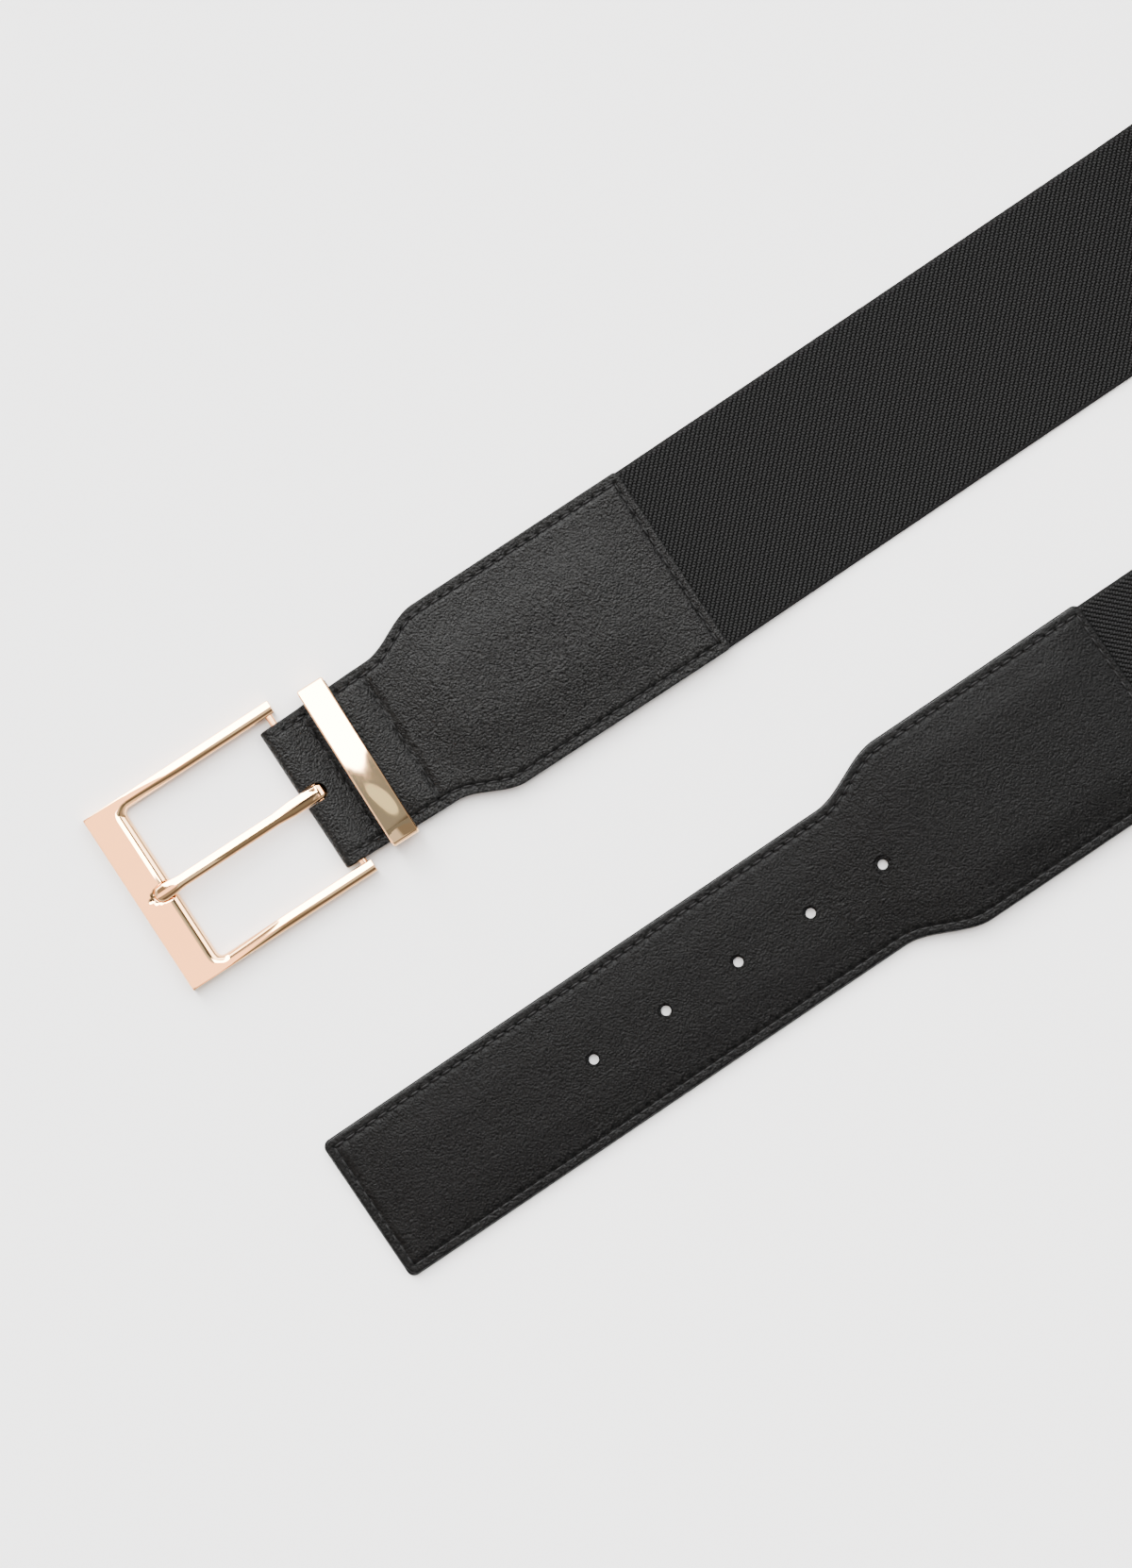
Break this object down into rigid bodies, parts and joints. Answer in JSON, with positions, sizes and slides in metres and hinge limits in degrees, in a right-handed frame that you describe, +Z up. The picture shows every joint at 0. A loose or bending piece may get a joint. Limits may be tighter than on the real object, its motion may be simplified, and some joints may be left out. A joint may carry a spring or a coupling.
{
  "type": "elastic stretch belt",
  "caption": "Wide elastic waist belt with leather end tabs, a metal frame buckle with prong, and a metal keeper, laid open in a U.",
  "frame": {"origin": "middle of the belt's outline in plan, on the surface that it lies on", "axes": "+X along both straps towards the turn, +Y from the tip strap to the buckle strap, +Z up"},
  "size_m": [0.4826, 0.1692, 0.0755],
  "materials": {
    "elastic": "black woven elastic webbing with fine diagonal ribs, matt",
    "leather": "black grained leather, soft satin",
    "leather_back": "black grained leather lining, satin",
    "rose_gold": "polished rose gold plating"
  },
  "bodies": {
    "belt": {"elastic_band": "elastic", "buckle_tab_front": "leather", "buckle_tab_back": "leather_back", "tip_tab_front": "leather", "tip_tab_back": "leather_back"},
    "buckle": {"buckle_frame": "rose_gold", "buckle_bar": "rose_gold"},
    "prong": {"prong": "rose_gold"},
    "keeper": {"keeper_loop": "rose_gold"}
  },
  "joints": [
    {"name": "buckle_hinge", "type": "hinge", "parent": "belt", "child": "buckle", "pos_m": [-0.18005, 0.05473, 0.0027], "axis": [0.014, 0.9999, 0], "range_deg": [-85, 30]},
    {"name": "prong_hinge", "type": "hinge", "parent": "buckle", "child": "prong", "pos_m": [-0.18006, 0.05383, 0.0027], "axis": [0.014, 0.9999, 0], "range_deg": [0, 60]},
    {"name": "keeper_slide", "type": "slide", "parent": "belt", "child": "keeper", "axis": [0.9999, -0.014, 0], "range_m": [0, 0.0075]}
  ]
}
